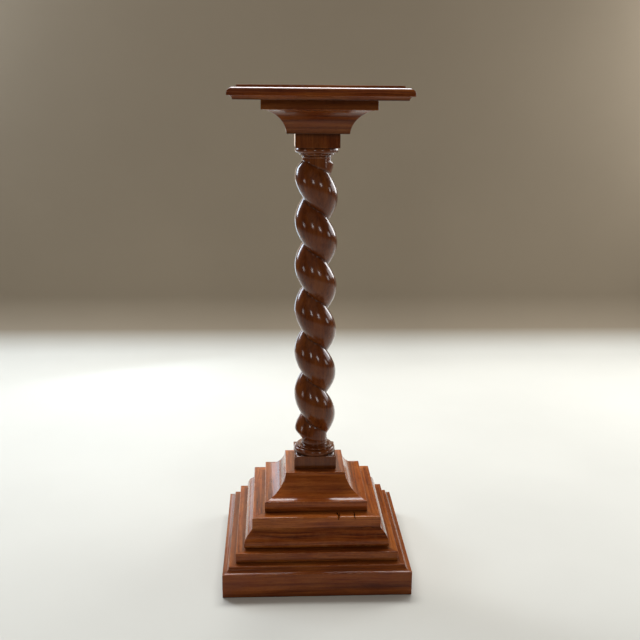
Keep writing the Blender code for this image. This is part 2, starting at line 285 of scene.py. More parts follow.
def lower_collar_profile():
    """Radius and height pairs of the lower collar, from its square block up to the twist."""
    lip_foot = LOWER_TORUS_FOOT + LOWER_TORUS_CROWN
    hollow_foot = lip_foot + LIP_HEIGHT
    roll_foot = hollow_foot + CAVETTO_HEIGHT
    foot_x = TORUS_RADIUS - LOWER_TORUS_FOOT
    crown_x = TORUS_RADIUS - LOWER_TORUS_SLOPE
    foot = arc((foot_x, LOWER_TORUS_FOOT), LOWER_TORUS_FOOT, LOWER_TORUS_FOOT, -90, 0)
    crown = arc((crown_x, LOWER_TORUS_FOOT), LOWER_TORUS_SLOPE, LOWER_TORUS_CROWN, 0, 90)
    lip = half_round(LIP_RADIUS, lip_foot, LIP_HEIGHT, LIP_PROUD)
    depth = CAVETTO_RADIUS - LOWER_NECK_RADIUS
    hollow = arc((CAVETTO_RADIUS, roll_foot), depth, CAVETTO_HEIGHT, 270, 180)
    roll_radius = LOWER_NECK_RADIUS + ROLL_PROUD
    roll = half_round(roll_radius, roll_foot, ROLL_HEIGHT, ROLL_PROUD)
    return foot + crown[1:] + lip + hollow + roll[1:]


def upper_collar_profile():
    """Radius and distance pairs of the upper collar, from its square block down to the twist."""
    fillet_foot = UPPER_TORUS_HEIGHT
    groove_foot = fillet_foot + FILLET_HEIGHT
    thin_ring_foot = groove_foot + GROOVE_HEIGHT
    neck_foot = thin_ring_foot + THIN_RING_HEIGHT
    ring_radius = UPPER_NECK_RADIUS + RING_PROUD
    torus = half_round(TORUS_RADIUS, 0.0, UPPER_TORUS_HEIGHT, UPPER_TORUS_PROUD)
    fillet = half_round(FILLET_RADIUS, fillet_foot, FILLET_HEIGHT, RING_PROUD)
    thin_ring = half_round(ring_radius, thin_ring_foot, THIN_RING_HEIGHT, RING_PROUD)
    neck = (UPPER_NECK_RADIUS, neck_foot + UPPER_NECK_HEIGHT)
    return torus + fillet + [(UPPER_NECK_RADIUS, groove_foot)] + thin_ring + [neck]


def shaft_height():
    collars = lower_collar_profile()[-1][1] + upper_collar_profile()[-1][1]
    return LOWER_BLOCK_HEIGHT + collars + TWIST_LENGTH + UPPER_BLOCK_HEIGHT


def smooth_minimum(a, b, blend):
    near = max(blend - abs(a - b), 0.0) / blend
    return min(a, b) - near * near * blend / 4


def ease(share):
    share = min(max(share, 0.0), 1.0)
    return share * share * (3 - 2 * share)


def strand_share(angle, rise):
    """How far a point lies from one crease to the next, from 0 to 1."""
    drop = UPPER_CREASE_DROP * ease(1 - (TWIST_LENGTH - rise) / CREASE_FADE)
    turn = (angle - math.radians(CREASE_START_DEGREES)) / (2 * math.pi)
    turn += (rise + drop) / TWIST_PITCH
    return turn - math.floor(turn)


def strand_radius(angle, rise):
    """Radius of the twist at an angle, at a rise above the twist's lower end."""
    across = strand_share(angle, rise)
    strand_centre = rise + TWIST_PITCH * (0.5 - across)
    if rise < TWIST_LENGTH / 2:
        neck, taper = LOWER_NECK_RADIUS, LOWER_TAPER
        from_end = rise
        past_end = -strand_centre
        edge = 1 - across
    else:
        neck, taper = UPPER_NECK_RADIUS, UPPER_TAPER
        from_end = TWIST_LENGTH - rise
        past_end = strand_centre - TWIST_LENGTH
        edge = across
    crease = neck + (CREASE_RADIUS - neck) * ease(from_end / CREASE_FADE)
    full = crease + (TWIST_RADIUS - crease) * (1 - abs(2 * across - 1) ** STRAND_POWER)
    spent = crease + (neck - crease) * (1 - (1 - min(edge / RUNOUT_LIP, 1.0)) ** 2)
    left = 1 - ease((past_end + RUNOUT_START) / RUNOUT_LENGTH)
    strand = spent + (full - spent) * left
    reach = 1 - (1 - min(from_end / taper, 1.0)) ** TAPER_POWER
    envelope = neck + (TWIST_RADIUS + STRAND_BLEND - neck) * reach
    return smooth_minimum(strand, envelope, STRAND_BLEND)


def smoothed(line, softness):
    """Polyline of even steps, averaged over a distance, with its ends held."""
    reach = max(int(KERNEL_REACH * softness / PROFILE_STEP), 1)
    offsets = np.arange(-reach, reach + 1) * PROFILE_STEP
    kernel = np.exp(-0.5 * (offsets / softness) ** 2)
    kernel /= kernel.sum()
    before = 2 * line[0] - line[reach:0:-1]
    after = 2 * line[-1] - line[-2:-reach - 2:-1]
    padded = np.vstack([before, line, after])
    return np.column_stack([np.convolve(padded[:, k], kernel, "valid") for k in (0, 1)])


def kept_points(line):
    """Indices of the points that a polyline needs to keep its shape."""
    keep = {0, len(line) - 1}
    spans = [(0, len(line) - 1)]
    while spans:
        first, last = spans.pop()
        if last - first < 2:
            continue
        chord = line[last] - line[first]
        length = np.linalg.norm(chord)
        offset = line[first + 1:last] - line[first]
        if length < 1e-9:
            gap = np.linalg.norm(offset, axis=1)
        else:
            gap = np.abs(chord[0] * offset[:, 1] - chord[1] * offset[:, 0]) / length
        worst = int(gap.argmax())
        if gap[worst] > CHORD_ERROR:
            middle = first + 1 + worst
            keep.add(middle)
            spans += [(first, middle), (middle, last)]
    return sorted(keep)


def eased(profile, softness):
    """Profile with its arrises worn round.

    Returns rows of half width, height, outward normal (two numbers) and bend, which is positive
    along an arris and negative in a hollow corner.
    """
    points = np.array(profile)
    points = points[np.append(True, np.linalg.norm(np.diff(points, axis=0), axis=1) > SAME_PLACE)]
    along = np.append(0, np.cumsum(np.linalg.norm(np.diff(points, axis=0), axis=1)))
    even = np.linspace(0, along[-1], int(along[-1] / PROFILE_STEP) + 1)
    line = np.column_stack([np.interp(even, along, points[:, k]) for k in (0, 1)])
    worn = smoothed(line, softness)
    tangent = np.gradient(worn, axis=0)
    tangent /= np.linalg.norm(tangent, axis=1)[:, None]
    normal = np.column_stack([tangent[:, 1], -tangent[:, 0]])
    wide = smoothed(line, softness * BEND_REACH)
    bend = np.clip(((wide - line) * -normal).sum(axis=1) / (softness * BEND_SCALE), -1, 1)

    keep = kept_points(worn)
    spots = []
    for first, last in zip(keep, keep[1:]):
        spots.append(first)
        run = (last - first) * PROFILE_STEP
        if run > 3 * SUPPORT:
            pad = int(SUPPORT / PROFILE_STEP)
            parts = max(int(run / LONGEST_RUN), 1)
            inner = np.linspace(first + pad, last - pad, parts + 1).astype(int)
            spots += [int(i) for i in inner]
    spots.append(keep[-1])
    spots = sorted(set(spots))
    return np.column_stack([worn, normal, bend])[spots]


def closed_profile(profile, top_inset):
    """Profile that also turns in over the underside and the top ledge."""
    first, last = profile[0], profile[-1]
    return [(first[0] - HIDDEN_INSET, first[1])] + profile + [(last[0] - top_inset, last[1])]


def column_places(reach):
    """Places along one side, as pairs of a fixed distance and a share of what is left."""
    fixed = int(reach / COLUMN_SPACING)
    inner = [(i * reach / fixed, 0.0) for i in range(-fixed, fixed + 1)]
    right = [(reach, (i + 1) / END_COLUMNS) for i in range(END_COLUMNS)]
    left = [(-distance, -share) for distance, share in reversed(right)]
    return left + inner + right


def wave(place, length):
    """Smooth noise between -1 and 0, so that wear only takes timber away."""
    return (noise.noise(place / length) - 1) / 2


def square_ring(bm, row, places, corner, tags):
    """One ring of a mitred tier, counter-clockwise from the left end of the front."""
    half, z, out, up, bend = row
    ring = []
    flat = half - corner
    for side, (normal, tangent) in enumerate(SIDES):
        spots = [(-flat, 0.0)]
        for distance, share in places:
            left_over = flat - SUPPORT - abs(distance)
            spots.append((distance + share * left_over, 0.0))
        spots.append((flat, 0.0))
        spots += [(flat, 90.0 * i / CORNER_STEPS) for i in range(1, CORNER_STEPS)]
        for x, turn in spots:
            if turn:
                angle = math.radians(turn)
                facing = normal * math.cos(angle) + tangent * math.sin(angle)
                spot = (normal + tangent) * flat + facing * corner
            else:
                facing = normal
                spot = normal * half + tangent * x
            spot = spot + Vector((0, 0, z))
            drop = FACE_WAVE * wave(spot, FACE_WAVE_LENGTH)
            drop += ARRIS_WAVE * max(bend, 0) * wave(spot, ARRIS_WAVE_LENGTH)
            direction = facing * out + Vector((0, 0, up))
            ring.append(bm.verts.new(spot + direction * drop))
            tags.append((bend, side, turn))
    return ring


def skin(bm, lower, upper):
    """Side faces between two rings with as many corners."""
    count = len(lower)
    faces = []
    for i in range(count):
        j = (i + 1) % count
        faces.append(bm.faces.new((lower[i], lower[j], upper[j], upper[i])))
    return faces


def write_point_values(mesh, name, values):
    layer = mesh.attributes.new(name, "FLOAT", "POINT")
    layer.data.foreach_set("value", np.array(values, np.float32))


def write_grain(mesh, values):
    """Place of each face corner in the timber: along the grain, then twice across it."""
    layer = mesh.attributes.new("grain", "FLOAT_VECTOR", "CORNER")
    layer.data.foreach_set("vector", np.array(values, np.float32))


def grain_shift(draw):
    return [draw.uniform(-GRAIN_SHIFT, GRAIN_SHIFT) for _ in range(3)]


def finish_piece(bm, name, material):
    """Turns a closed mesh into a named object with its material."""
    mesh = bpy.data.meshes.new(name + "_polished")
    bm.to_mesh(mesh)
    bm.free()
    mesh.materials.append(material)
    mesh.shade_smooth()
    piece = bpy.data.objects.new(name + "_polished", mesh)
    bpy.context.scene.collection.objects.link(piece)
    return piece


def mitred_tier(name, profile, top_inset, joint_half, softness, seed, panel_from=None):
    """Fine mesh of one square tier, with its grain along each side and one way over a panel."""
    rows = eased(closed_profile(profile, top_inset), softness)
    narrowest = float(rows[:, 0].min())
    places = column_places(EVEN_SHARE * (narrowest - CORNER_RADIUS - SUPPORT))
    bm = bmesh.new()
    tags = []
    rings = [square_ring(bm, row, places, CORNER_RADIUS, tags) for row in rows]
    per_side = len(rings[0]) // 4
    face_sides = []
    for lower, upper in zip(rings, rings[1:]):
        skin(bm, lower, upper)
        for i in range(len(lower)):
            side = i // per_side
            in_corner = i % per_side - (per_side - CORNER_STEPS)
            face_sides.append((side + (in_corner >= CORNER_STEPS // 2)) % 4)
    bm.faces.new(list(reversed(rings[0])))
    bm.faces.new(rings[-1])
    face_sides += [0, 0]

    piece = finish_piece(bm, name, mahogany(name, *TIMBER[name]))
    mesh = piece.data
    draw = random.Random(seed)
    shifts = [grain_shift(draw) for _ in SIDES]
    values = []
    for face in mesh.polygons:
        side = face_sides[face.index]
        if panel_from is not None and face.center.z > panel_from:
            side = 0
        normal, tangent = SIDES[side]
        shift = shifts[side]
        for vertex in face.vertices:
            spot = mesh.vertices[vertex].co
            along, across = spot.dot(tangent), spot.dot(normal)
            values += [along + shift[0], across + shift[1], spot.z + shift[2]]
    write_grain(mesh, values)

    foot = profile[0][1]
    top = profile[-1][1]
    # Darker at each tier's foot, near the joint with the tier above and in hollow corners: grime
    # and painted shade
    grime_and_shade = []
    for vertex, (bend, _, _) in zip(mesh.vertices, tags):
        spot = vertex.co
        square = max(abs(spot.x), abs(spot.y))
        to_foot = spot.z - foot
        to_joint = abs(square - joint_half) + TIER_JOINT_RISE * abs(top - spot.z)
        near = max(math.exp(-to_foot / TIER_FOOT_FADE), math.exp(-to_joint / TIER_JOINT_FADE))
        grime_and_shade.append(min(max(-bend, 0) * TIER_HOLLOW_GRIME_AND_SHADE + near, 1.0))
    write_point_values(mesh, "grime_and_shade", grime_and_shade)
    write_point_values(mesh, "arris", [max(bend, 0) for bend, _, _ in tags])
    return piece


def circle_ring(bm, radius_of, z):
    """One round ring of the shaft, from a radius for each angle."""
    ring = []
    for i in range(SHAFT_SIDES):
        angle = 2 * math.pi * i / SHAFT_SIDES
        spot = Vector((math.cos(angle), math.sin(angle), 0))
        radius = radius_of(angle)
        place = spot * radius + Vector((0, 0, z))
        radius += FACE_WAVE * wave(place, SHAFT_WAVE_LENGTH)
        ring.append(bm.verts.new(spot * radius + Vector((0, 0, z))))
    return ring


def block_ring(bm, half, z, corner):
    """One square ring of the shaft, starting at the middle of its right side."""
    per_quarter = SHAFT_SIDES // 4
    arms = (per_quarter - CORNER_STEPS) // 2
    flat = half - corner
    ring = []
    for side in range(4):
        normal, tangent = SIDES[(side + 1) % 4]
        spots = [normal * half + tangent * (flat - SUPPORT) * i / (arms - 1) for i in range(arms)]
        for i in range(CORNER_STEPS + 1):
            angle = math.radians(90 * i / CORNER_STEPS)
            facing = normal * math.cos(angle) + tangent * math.sin(angle)
            spots.append((normal + tangent) * flat + facing * corner)
        following = SIDES[(side + 2) % 4]
        for i in range(arms - 1):
            x = -(flat - SUPPORT) * (1 - i / (arms - 1))
            spots.append(following[0] * half + following[1] * x)
        ring += [bm.verts.new(spot + Vector((0, 0, z))) for spot in spots]
    return ring


def skin_twist(bm, lower, upper):
    """Side faces between two rings of the twist, split along the crease."""
    for i in range(SHAFT_SIDES):
        j = (i + 1) % SHAFT_SIDES
        bm.faces.new((lower[i], lower[j], upper[i]))
        bm.faces.new((lower[j], upper[j], upper[i]))


def twist_rises():
    """Heights of the twist's rings, set so that the crease runs from vertex to vertex."""
    step = TWIST_PITCH / TWIST_ROWS_PER_PITCH
    first = (CREASE_START_DEGREES / 360 * TWIST_PITCH) % step
    count = int((TWIST_LENGTH - first) / step) + 1
    rises = [first + i * step for i in range(count)]
    return [z for z in rises if step / 3 < z < TWIST_LENGTH - step / 3]


def twist_shaft(name, base, half, seed):
    """Fine mesh of the shaft: block, collar, twist, collar and block in one piece."""
    bm = bmesh.new()
    lower_shoulder = base + LOWER_BLOCK_HEIGHT
    twist_foot = lower_shoulder + lower_collar_profile()[-1][1]
    upper_shoulder = base + shaft_height() - UPPER_BLOCK_HEIGHT
    top = base + shaft_height()
    hidden, eased_in = half - HIDDEN_INSET, half - BLOCK_END_STEP
    lower_block = [(hidden, base), (half, base), (half, lower_shoulder), (eased_in, lower_shoulder)]
    upper_block = [(eased_in, upper_shoulder), (half, upper_shoulder), (half, top), (hidden, top)]
    lower_collar = eased(lower_collar_profile(), COLLAR_SOFTNESS)
    upper_collar = eased(upper_collar_profile(), COLLAR_SOFTNESS)

    rings = []
    marks = []
    for row in eased(lower_block, BLOCK_SOFTNESS):
        rings.append(block_ring(bm, row[0], row[1], BLOCK_CORNER))
        marks.append(("block", row[4], row[1]))
    for row in lower_collar:
        rings.append(circle_ring(bm, lambda _, r=row[0]: r, lower_shoulder + row[1]))
        marks.append(("collar", row[4], lower_shoulder + row[1]))
    for rise in twist_rises():
        rings.append(circle_ring(bm, lambda a, z=rise: strand_radius(a, z), twist_foot + rise))
        marks.append(("twist", 0.0, twist_foot + rise))
    for row in reversed(upper_collar):
        rings.append(circle_ring(bm, lambda _, r=row[0]: r, upper_shoulder - row[1]))
        marks.append(("collar", row[4], upper_shoulder - row[1]))
    for row in eased(upper_block, BLOCK_SOFTNESS):
        rings.append(block_ring(bm, row[0], row[1], BLOCK_CORNER))
        marks.append(("block", row[4], row[1]))

    for i, (lower, upper) in enumerate(zip(rings, rings[1:])):
        if marks[i][0] == "twist" and marks[i + 1][0] == "twist":
            skin_twist(bm, lower, upper)
        else:
            skin(bm, lower, upper)
    bm.faces.new(list(reversed(rings[0])))
    bm.faces.new(rings[-1])

    # Darker in hollow corners, along the twist's creases and near the joints: grime and painted
    # shade
    grime_and_shade = []
    arris = []
    for kind, bend, z in marks:
        for i in range(SHAFT_SIDES):
            dirt_and_shade = max(-bend, 0) * SHAFT_HOLLOW_GRIME_AND_SHADE
            to_joint = min(z - base, top - z)
            if kind == "twist":
                across = strand_share(2 * math.pi * i / SHAFT_SIDES, z - twist_foot)
                dirt_and_shade = math.exp(-min(across, 1 - across) / CREASE_FADE_SHARE) * CREASE_GRIME_AND_SHADE
            if kind == "collar":
                to_joint = min(abs(z - lower_shoulder), abs(upper_shoulder - z)) * 2
            dirt_and_shade = max(dirt_and_shade, math.exp(-to_joint / SHAFT_JOINT_FADE))
            grime_and_shade.append(min(dirt_and_shade, 1.0))
            arris.append(max(bend, 0) * (kind != "twist"))
    piece = finish_piece(bm, name, mahogany(name, *TIMBER[name]))
    mesh = piece.data
    write_point_values(mesh, "grime_and_shade", grime_and_shade)
    write_point_values(mesh, "arris", arris)
    shift = Vector(grain_shift(random.Random(seed)))
    values = []
    for loop in mesh.loops:
        spot = mesh.vertices[loop.vertex_index].co + shift
        values += [spot.z, spot.x, spot.y]
    write_grain(mesh, values)
    return piece


# Mahogany
WOOD_DEEP = (0.080, 0.0150, 0.0036)
WOOD_BODY = (0.208, 0.0510, 0.0090)
WOOD_LIGHT = (0.345, 0.1000, 0.0190)
# Near black of grime and painted shade in corners, creases, joints and splits
WOOD_GRIME_AND_SHADE = (0.014, 0.0050, 0.0025)
WOOD_WORN = (0.400, 0.1500, 0.0500)
PORE_SHADE = (0.45, 0.40, 0.38)
GRIMY_ROUGHNESS = (0.6, 0.6, 0.6)
TIMBER_INDEX = 1.45

# Each piece's depth of colour, contrast of grain, roughness and index of polish, and sheen
TIMBER = {
    "plinth": (0.96, 0.95, 0.13, 1.31, 0.02),
    "step_board": (1.02, 1.30, 0.13, 1.31, 0.02),
    "ogee_tier": (1.16, 1.45, 0.13, 1.31, 0.02),
    "cove_tier": (1.22, 1.25, 0.11, 1.31, 0.02),
    "twist_shaft": (0.61, 0.75, 0.13, 1.36, 0.07),
    "cap_block": (0.68, 1.00, 0.22, 1.31, 0.02),
    "top_board": (1.00, 1.20, 0.10, 1.33, 0.02),
}

# Noise of the timber: cycles per metre along and across the grain, detail and roughness
BANDS = (2.2, 52.0, 3.0, 0.55)
STREAKS = (5.0, 190.0, 3.0, 0.6)
FIBRES = (22.0, 900.0, 2.0, 0.6)
PORES = (90.0, 2600.0, 1.0, 0.5)
MOTTLE = (11.0, 20.0, 2.0, 0.5)
SCUFFS = (60.0, 60.0, 3.0, 0.6)
SMEARS = (18.0, 30.0, 3.0, 0.6)
BAND_DISTORTION = 0.2
BAND_SHARE = 0.52
STREAK_SHARE = 0.46
FIBRE_SHARE = 0.20
PORE_STRENGTH = 0.8
PORE_RELIEF = 0.5
SWAY_SCALE = 5.5
SWAY_DETAIL = 1.5
SWAY_REACH = 0.014
GRAIN_RELIEF = 0.0006
GRAIN_RELIEF_STRENGTH = 0.05

# Where a noise turns from one tone, strength or roughness to the next
FIGURE_PLACES = (0.42, 0.58, 0.78)
MOTTLE_STOPS = ((0.30, (0.84, 0.70, 0.66)), (0.70, (1.08, 1.14, 1.10)))
PORE_STOPS = ((0.30, 0.0), (0.42, 1.0))
WEAR_STOPS = ((0.45, 0.0), (0.68, 0.75))
# Strength of the grime and painted shade along its mask
GRIME_AND_SHADE_STOPS = ((0.25, 0.55), (0.6, 0.95))
GLOSS_STOPS = ((0.3, 0.20), (0.7, 0.34))


def link(tree, source, target):
    tree.links.new(source, target)


def stretched_noise(tree, place, layer, distortion=0.0):
    """One noise of the timber, drawn out along the grain."""
    along, across, detail, roughness = layer
    mapping = tree.nodes.new("ShaderNodeMapping")
    mapping.vector_type = "POINT"
    mapping.inputs["Scale"].default_value = (along, across, across)
    link(tree, place, mapping.inputs["Vector"])
    texture = tree.nodes.new("ShaderNodeTexNoise")
    texture.inputs["Scale"].default_value = 1.0
    texture.inputs["Detail"].default_value = detail
    texture.inputs["Roughness"].default_value = roughness
    texture.inputs["Distortion"].default_value = distortion
    link(tree, mapping.outputs["Vector"], texture.inputs["Vector"])
    return texture.outputs["Fac"]


def ramp(tree, value, stops):
    """Colour ramp through pairs of a place and a grey or a colour."""
    node = tree.nodes.new("ShaderNodeValToRGB")
    elements = node.color_ramp.elements
    while len(elements) < len(stops):
        elements.new(0.5)
    for element, (place, colour) in zip(elements, stops):
        element.position = place
        if isinstance(colour, (int, float)):
            colour = (colour, colour, colour)
        element.color = (*colour, 1.0)
    link(tree, value, node.inputs["Fac"])
    return node.outputs["Color"]


def mixed(tree, share, first, second, blend="MIX"):
    """Mix of two colours, each a socket or a plain colour."""
    node = tree.nodes.new("ShaderNodeMix")
    node.data_type = "RGBA"
    node.blend_type = blend
    inputs = node.inputs
    for value, socket in ((share, inputs[0]), (first, inputs[6]), (second, inputs[7])):
        if isinstance(value, (int, float)):
            socket.default_value = value
        elif isinstance(value, tuple):
            socket.default_value = (*value, 1.0)
        else:
            link(tree, value, socket)
    return node.outputs[2]


def maths(tree, operation, first, second):
    node = tree.nodes.new("ShaderNodeMath")
    node.operation = operation
    for value, socket in ((first, node.inputs[0]), (second, node.inputs[1])):
        if isinstance(value, (int, float)):
            socket.default_value = value
        else:
            link(tree, value, socket)
    return node.outputs[0]


def attribute(tree, name, output):
    node = tree.nodes.new("ShaderNodeAttribute")
    node.attribute_name = name
    return node.outputs[output]


def mahogany(name, depth, contrast, polish, gloss_index, sheen):
    """French polished mahogany: streaked grain, dark pores, grime and painted shade in corners,
    worn arrises.
    """
    material = bpy.data.materials.new(name + "_mahogany")
    material.use_nodes = True
    tree = material.node_tree
    shader = tree.nodes["Principled BSDF"]
    grain = attribute(tree, "grain", "Vector")

    # Slow bends of the grain
    sway = tree.nodes.new("ShaderNodeTexNoise")
    sway.inputs["Scale"].default_value = SWAY_SCALE
    sway.inputs["Detail"].default_value = SWAY_DETAIL
    link(tree, grain, sway.inputs["Vector"])
    offset = tree.nodes.new("ShaderNodeVectorMath")
    offset.operation = "MULTIPLY_ADD"
    link(tree, sway.outputs["Color"], offset.inputs[0])
    offset.inputs[1].default_value = (0.0, SWAY_REACH, SWAY_REACH)
    link(tree, grain, offset.inputs[2])
    bent = offset.outputs["Vector"]

    # Figure of the timber
    bands = stretched_noise(tree, bent, BANDS, BAND_DISTORTION)
    streaks = stretched_noise(tree, bent, STREAKS)
    fibres = stretched_noise(tree, bent, FIBRES)
    pores = stretched_noise(tree, bent, PORES)
    mottle = stretched_noise(tree, grain, MOTTLE)
    banded = maths(tree, "MULTIPLY", bands, BAND_SHARE)
    streaked = maths(tree, "MULTIPLY", streaks, STREAK_SHARE)
    fibred = maths(tree, "MULTIPLY", fibres, FIBRE_SHARE)
    figure = maths(tree, "ADD", maths(tree, "ADD", banded, streaked), fibred)
    tones = []
    for tone in (WOOD_DEEP, WOOD_BODY, WOOD_LIGHT):
        tones.append(tuple(depth * (b + contrast * (c - b)) for b, c in zip(WOOD_BODY, tone)))
    colour = ramp(tree, figure, tuple(zip(FIGURE_PLACES, tones)))
    shade = ramp(tree, mottle, MOTTLE_STOPS)
    colour = mixed(tree, 1.0, colour, shade, "MULTIPLY")
    pore_mask = ramp(tree, pores, PORE_STOPS)
    pore_shade = mixed(tree, pore_mask, PORE_SHADE, (1.0, 1.0, 1.0))
    colour = mixed(tree, PORE_STRENGTH, colour, pore_shade, "MULTIPLY")

    # Pale worn arrises, then grime and painted shade over all
    scuffs = stretched_noise(tree, grain, SCUFFS)
    arris, grime_and_shade = attribute(tree, "arris", "Fac"), attribute(tree, "grime_and_shade", "Fac")
    worn = maths(tree, "MULTIPLY", arris, ramp(tree, scuffs, WEAR_STOPS))
    colour = mixed(tree, worn, colour, WOOD_WORN)
    dirt_and_shade = maths(tree, "MULTIPLY", grime_and_shade, ramp(tree, scuffs, GRIME_AND_SHADE_STOPS))
    colour = mixed(tree, dirt_and_shade, colour, WOOD_GRIME_AND_SHADE)
    link(tree, colour, shader.inputs["Base Color"])

    # Polish over the timber
    gloss = ramp(tree, stretched_noise(tree, grain, SMEARS), GLOSS_STOPS)
    rough = mixed(tree, dirt_and_shade, gloss, GRIMY_ROUGHNESS)
    link(tree, rough, shader.inputs["Roughness"])
    shader.inputs["IOR"].default_value = TIMBER_INDEX
    shader.inputs["Specular IOR Level"].default_value = sheen
    shader.inputs["Coat Weight"].default_value = 1.0
    shader.inputs["Coat Roughness"].default_value = polish
    shader.inputs["Coat IOR"].default_value = gloss_index

    # Open pores and fibres, felt through the polish
    relief = maths(tree, "ADD", maths(tree, "MULTIPLY", pore_mask, PORE_RELIEF), streaks)
    bump = tree.nodes.new("ShaderNodeBump")
    bump.inputs["Strength"].default_value = GRAIN_RELIEF_STRENGTH
    bump.inputs["Distance"].default_value = GRAIN_RELIEF
    link(tree, relief, bump.inputs["Height"])
    link(tree, bump.outputs["Normal"], shader.inputs["Normal"])
    return material


def cut(piece, cutter):
    """Takes a cutter's shape out of a piece."""
    change = piece.modifiers.new(cutter.name, "BOOLEAN")
    change.operation = "DIFFERENCE"
    change.solver = "EXACT"
    change.object = cutter
    bpy.context.view_layer.update()
    graph = bpy.context.evaluated_depsgraph_get()
    mesh = bpy.data.meshes.new_from_object(piece.evaluated_get(graph), depsgraph=graph)
    mesh.name = piece.data.name
    piece.modifiers.clear()
    piece.data = mesh
    bpy.data.objects.remove(cutter, do_unlink=True)


# Splits of the ogee tier: name, x where it leaves the tier above, places on the ledge, width,
# and the x and rise of its end on the face
LEDGE_SPLITS = (
    ("left_split", 0.0455, ((0.0461, -0.1240), (0.0485, -0.1305), (0.0492, -0.1350)), 0.0044,
     (0.0474, -0.0070)),
    ("right_split", 0.0815, ((0.0840, -0.1213), (0.0836, -0.1350)), 0.0030, (0.0856, -0.0066)),
)
SPLIT_UNDER_COVE = 0.0002
SPLIT_TIP_SHARE = 0.6
FACE_WIDTH_SHARE = 0.5
CUTTER_LIFT = 0.0006
LEDGE_CUT = 0.0045
ARRIS_CUT = 0.0040
FACE_CUT = 0.0015
BRANCH_SPLIT = ((0.0500, -0.1175), (0.0524, -0.1240), (0.0512, -0.1330))
BRANCH_WIDTH = 0.0018
BRANCH_CUT = 0.0030

# Shake along the fascia, and the chip at the back as widths and depths down its path
SHAKE_SEED = 41
SHAKE_STEPS = 12
SHAKE_START = 0.070
SHAKE_LENGTH = 0.072
SHAKE_DROP = 0.0252
SHAKE_SWAY = 0.0010
SHAKE_SWAY_STEP = 1.1
SHAKE_JITTER = 0.0004
SHAKE_WIDTH = 0.0007
SHAKE_CUT = 0.0009
CHIP_X = -0.1290
CHIP_LEAN = 0.0002
CHIP_REACH = 0.0035
CHIP_DROP = 0.0036
CHIP_WIDTHS = (0.0026, 0.0034, 0.0022)
CHIP_CUTS = (0.0006, 0.0026, 0.0006)
SHARP_DEGREES = 50

UP = Vector((0, 0, 1))
FORWARD = Vector((0, -1, 0))
BACKWARD = Vector((0, 1, 0))


def split_cutter(name, path, material):
    """Wedge along a split, its walls painted near black as dirt and painted shade, from rows of
    place, outward direction, width and depth.
    """
    bm = bmesh.new()
    rings = []
    for i, (spot, out, width, depth) in enumerate(path):
        before = path[max(i - 1, 0)][0]
        after = path[min(i + 1, len(path) - 1)][0]
        side = (after - before).cross(out).normalized()
        spread = width / 2 * (depth + CUTTER_LIFT) / depth
        rings.append([bm.verts.new(spot + out * CUTTER_LIFT - side * spread),
                      bm.verts.new(spot + out * CUTTER_LIFT + side * spread),
                      bm.verts.new(spot - out * depth)])
    for lower, upper in zip(rings, rings[1:]):
        for i in range(3):
            j = (i + 1) % 3
            bm.faces.new((lower[i], lower[j], upper[j], upper[i]))
    bm.faces.new(list(reversed(rings[0])))
    bm.faces.new(rings[-1])
    bmesh.ops.recalc_face_normals(bm, faces=bm.faces)
    cutter = finish_piece(bm, name, material)
    mesh = cutter.data
    # The split's walls painted near black: dirt and painted shade
    write_point_values(mesh, "grime_and_shade", [SPLIT_GRIME_AND_SHADE] * len(mesh.vertices))
    write_point_values(mesh, "arris", [0.0] * len(mesh.vertices))
    values = []
    for loop in mesh.loops:
        values += list(mesh.vertices[loop.vertex_index].co)
    write_grain(mesh, values)
    return cutter


def ledge_split(name, places, width, end, ledge, front, material):
    """Split that starts under the tier above, crosses a ledge and turns down over its arris."""
    rows = []
    for i, (x, y) in enumerate(places):
        grown = SPLIT_TIP_SHARE + (1 - SPLIT_TIP_SHARE) * i / (len(places) - 1)
        rows.append((Vector((x, y, ledge)), UP, width * grown, LEDGE_CUT))
    arris = Vector((places[-1][0], -front, ledge))
    rows.append((arris, (UP + FORWARD).normalized(), width, ARRIS_CUT))
    tip = Vector((end[0], -front, ledge + end[1]))
    rows.append((tip, FORWARD, width * FACE_WIDTH_SHARE, FACE_CUT))
    return split_cutter(name, rows, material)


def damage(tier, half, ledge):
    """Splits over the front arris, a shallow shake low on the fascia and a chip at the back."""
    material = tier.data.materials[0]
    front = half["fascia"]
    start = -half["cove_slab"] - SPLIT_UNDER_COVE
    cutters = []
    for name, start_x, places, width, end in LEDGE_SPLITS:
        places = [(start_x, start), *places]
        cutters.append(ledge_split(name, places, width, end, ledge, front, material))
    rows = [(Vector((x, y, ledge)), UP, BRANCH_WIDTH, BRANCH_CUT) for x, y in BRANCH_SPLIT]
    cutters.append(split_cutter("branch_split", rows, material))

    draw = random.Random(SHAKE_SEED)
    rows = []
    for i in range(SHAKE_STEPS + 1):
        x = SHAKE_START + SHAKE_LENGTH * i / SHAKE_STEPS
        z = ledge - SHAKE_DROP + SHAKE_SWAY * math.sin(i * SHAKE_SWAY_STEP)
        z += draw.uniform(-SHAKE_JITTER, SHAKE_JITTER)
        width = SHAKE_WIDTH + draw.uniform(0, SHAKE_JITTER)
        rows.append((Vector((x, -front, z)), FORWARD, width, SHAKE_CUT))
    cutters.append(split_cutter("fascia_shake", rows, material))

    places = (
        (Vector((CHIP_X, front - CHIP_REACH, ledge)), UP),
        (Vector((CHIP_X, front, ledge)), (UP + BACKWARD).normalized()),
        (Vector((CHIP_X + CHIP_LEAN, front, ledge - CHIP_DROP)), BACKWARD),
    )
    rows = [(*place, *size) for place, size in zip(places, zip(CHIP_WIDTHS, CHIP_CUTS))]
    cutters.append(split_cutter("back_chip", rows, material))
    for cutter in cutters:
        cut(tier, cutter)
    tier.data.set_sharp_from_angle(angle=math.radians(SHARP_DEGREES))


